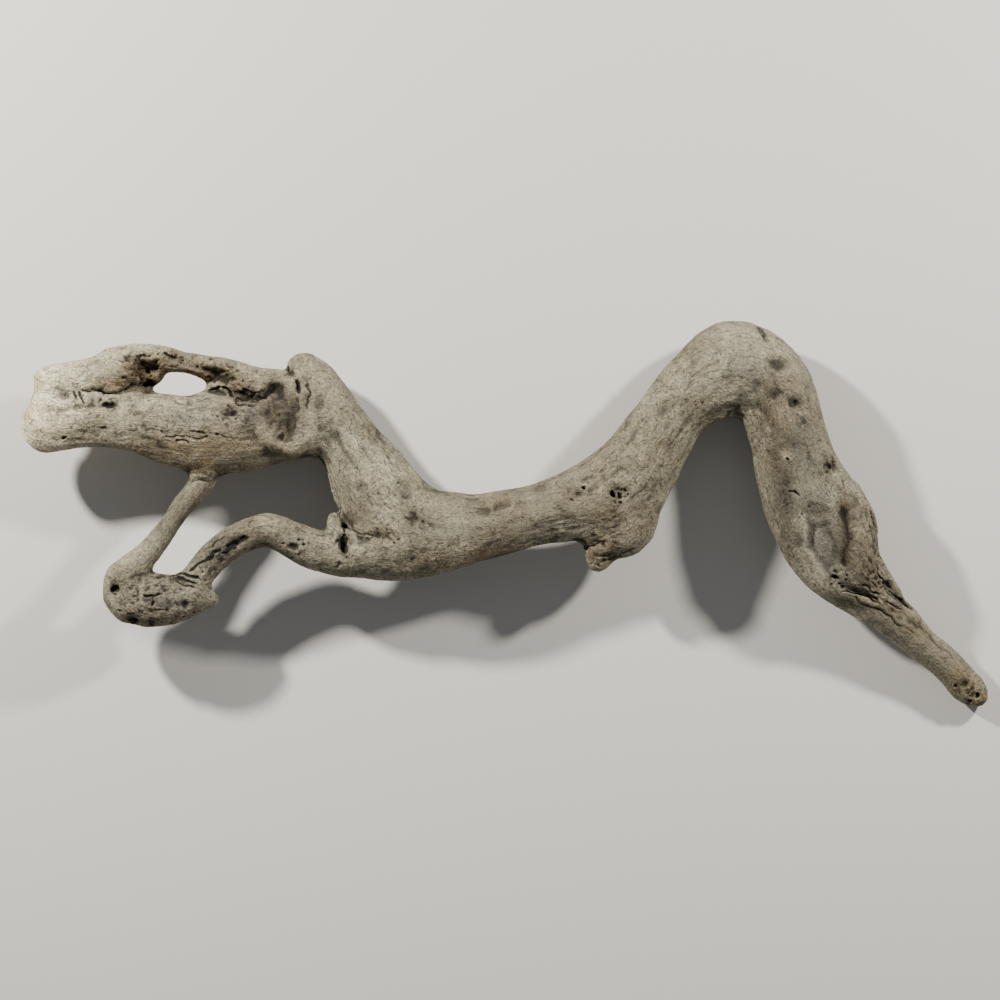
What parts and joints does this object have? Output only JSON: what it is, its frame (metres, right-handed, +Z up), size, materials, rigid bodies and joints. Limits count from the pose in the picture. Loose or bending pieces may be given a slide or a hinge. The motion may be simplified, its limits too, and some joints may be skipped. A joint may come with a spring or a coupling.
{
  "type": "piece of driftwood",
  "caption": "Crooked, sea-worn piece of root wood with a thick holed end, a high bend, a hollowed leg, a side twig that closes a loop, and a thin worn tip. It lies flat.",
  "frame": {"origin": "on the surface that the piece lies on, under the middle of its box", "axes": "+X runs along the piece from the thick holed end to the thin tip, +Y points to the top of the high bend, and +Z is up, off the surface that it lies on"},
  "size_m": [0.6104, 0.2444, 0.0684],
  "materials": {
    "bleached_wood": "matte, sea-worn and bleached, with dark cracks and stains"
  },
  "bodies": {
    "root": {"driftwood": "bleached_wood"}
  },
  "joints": []
}
